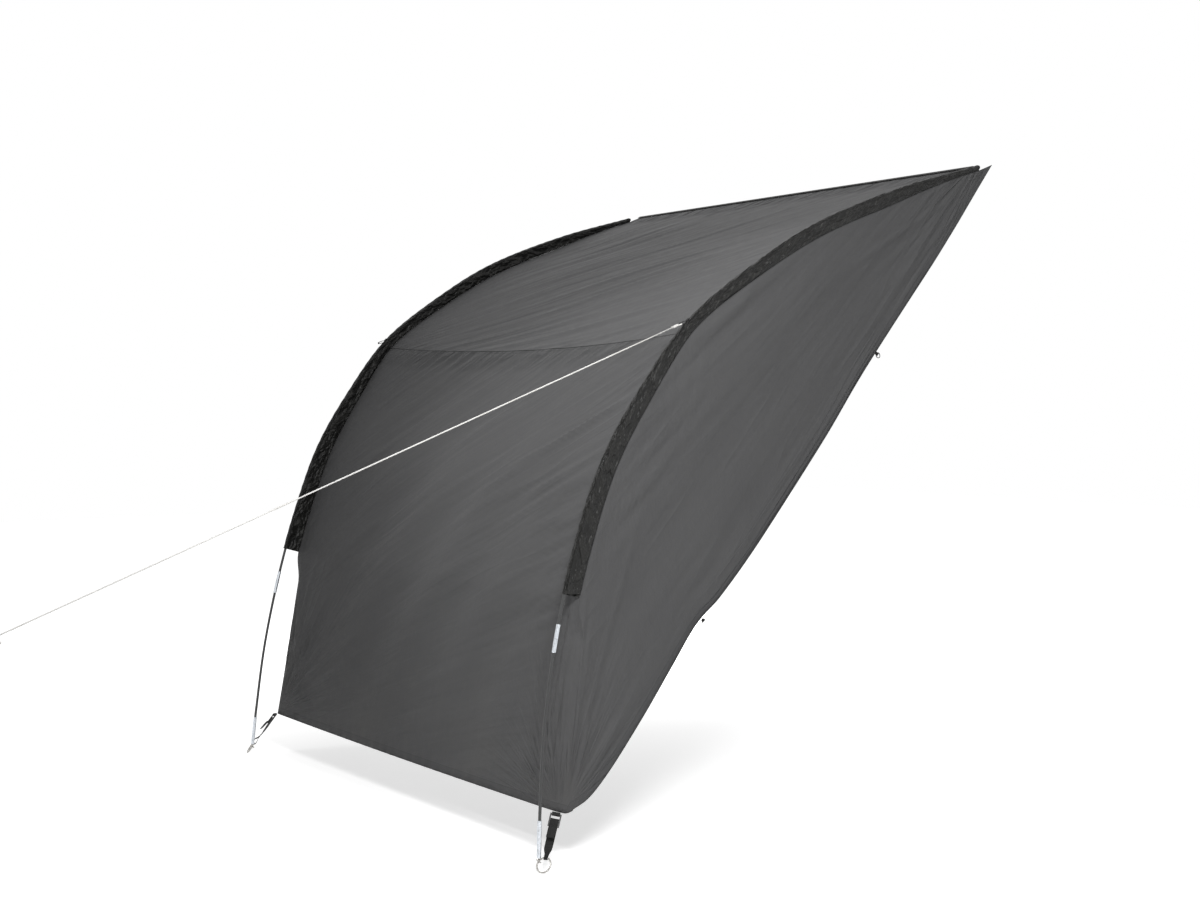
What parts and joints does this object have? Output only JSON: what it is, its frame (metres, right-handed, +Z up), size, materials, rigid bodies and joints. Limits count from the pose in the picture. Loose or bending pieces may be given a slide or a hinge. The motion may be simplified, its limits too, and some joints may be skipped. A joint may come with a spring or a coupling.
{
  "type": "bicycle storage tent",
  "caption": "Arched lean-to tent that slides into an awning rail and shelters parked bicycles, with sleeved poles, a guy line and pegging rings.",
  "frame": {"origin": "middle of the keder cord that runs in the awning rail, halfway along it", "axes": "+Z up, -Y from the rail out over the bicycles towards the front panel, +X towards the side seen nearest in the picture"},
  "size_m": [2.0376, 3.4501, 2.1722],
  "materials": {
    "canopy_cloth": "woven polyester with a weatherproof coating",
    "sleeve_cloth": "plain weave, slight sheen",
    "keder": "smooth soft PVC",
    "fibreglass": "pultruded glass-fibre rod, satin",
    "ferrule_steel": "bright plated",
    "foot_steel": "zinc plated",
    "webbing": "woven polypropylene",
    "black_nylon": "moulded nylon",
    "white_nylon": "moulded nylon",
    "guy_cord": "braided polyester"
  },
  "bodies": {
    "tent": {"corner_tab_left": "webbing", "corner_tab_right": "webbing", "ferrule_1_left": "ferrule_steel", "ferrule_1_right": "ferrule_steel", "ferrule_2_left": "ferrule_steel", "ferrule_2_right": "ferrule_steel", "ferrule_3_left": "ferrule_steel", "ferrule_3_right": "ferrule_steel", "ferrule_4_left": "ferrule_steel", "ferrule_4_right": "ferrule_steel", "foot_pin_left": "foot_steel", "foot_pin_right": "foot_steel", "foot_strap_left": "webbing", "foot_strap_right": "webbing", "front_panel": "canopy_cloth", "guy_knot_right": "guy_cord", "guy_line_right": "guy_cord", "guy_loop_left": "webbing", "guy_loop_right": "webbing", "keder_cord": "keder", "keder_tape": "sleeve_cloth", "pole_end_tube_left": "ferrule_steel", "pole_end_tube_right": "ferrule_steel", "pole_section_1_left": "fibreglass", "pole_section_1_right": "fibreglass", "pole_section_2_left": "fibreglass", "pole_section_2_right": "fibreglass", "pole_section_3_left": "fibreglass", "pole_section_3_right": "fibreglass", "pole_section_4_left": "fibreglass", "pole_section_4_right": "fibreglass", "pole_section_5_left": "fibreglass", "pole_section_5_right": "fibreglass", "pole_top_cap_left": "black_nylon", "pole_top_cap_right": "black_nylon", "roof_panel": "canopy_cloth", "side_panel_left": "canopy_cloth", "side_panel_right": "canopy_cloth", "sleeve_lower_left": "sleeve_cloth", "sleeve_lower_right": "sleeve_cloth", "sleeve_upper_left": "sleeve_cloth", "sleeve_upper_right": "sleeve_cloth", "strap_buckle_left": "black_nylon", "strap_buckle_right": "black_nylon", "tie_tab_1_left": "webbing", "tie_tab_1_right": "webbing", "tie_tab_2_left": "webbing", "tie_tab_2_right": "webbing"},
    "foot_ring_right": {"foot_ring_right": "foot_steel"},
    "foot_ring_left": {"foot_ring_left": "foot_steel"},
    "guy_runner_right": {"guy_runner_right": "white_nylon", "guy_stopper_right": "guy_cord"},
    "tie_ring_1_right": {"tie_ring_1_right": "black_nylon"},
    "tie_ring_1_left": {"tie_ring_1_left": "black_nylon"},
    "tie_ring_2_right": {"tie_ring_2_right": "black_nylon"},
    "tie_ring_2_left": {"tie_ring_2_left": "black_nylon"}
  },
  "joints": [
    {"name": "foot_ring_right_swing", "type": "hinge", "parent": "tent", "child": "foot_ring_right", "pos_m": [0.97489, -1.85573, -2.13744], "axis": [-0.6245, -0.628, -0.4643], "range_deg": [0, 8]},
    {"name": "foot_ring_left_swing", "type": "hinge", "parent": "tent", "child": "foot_ring_left", "pos_m": [-0.97489, -1.85573, -2.13744], "axis": [-0.6245, 0.628, 0.4643], "range_deg": [0, 8]},
    {"name": "guy_runner_right_slide", "type": "slide", "parent": "tent", "child": "guy_runner_right", "axis": [0, 0.9336, 0.3584], "range_m": [0, 0.8]},
    {"name": "tie_ring_1_right_swing", "type": "hinge", "parent": "tent", "child": "tie_ring_1_right", "pos_m": [0.94418, -0.46156, -0.6637], "axis": [-0.0472, -0.6304, -0.7749], "range_deg": [-75, 75]},
    {"name": "tie_ring_1_left_swing", "type": "hinge", "parent": "tent", "child": "tie_ring_1_left", "pos_m": [-0.94418, -0.46156, -0.6637], "axis": [-0.0472, 0.6304, 0.7749], "range_deg": [-75, 75]},
    {"name": "tie_ring_2_right_swing", "type": "hinge", "parent": "tent", "child": "tie_ring_2_right", "pos_m": [0.93463, -1.21052, -1.5031], "axis": [0.0248, -0.7638, -0.645], "range_deg": [-75, 75]},
    {"name": "tie_ring_2_left_swing", "type": "hinge", "parent": "tent", "child": "tie_ring_2_left", "pos_m": [-0.93463, -1.21052, -1.5031], "axis": [0.0248, 0.7638, 0.645], "range_deg": [-75, 75]}
  ]
}
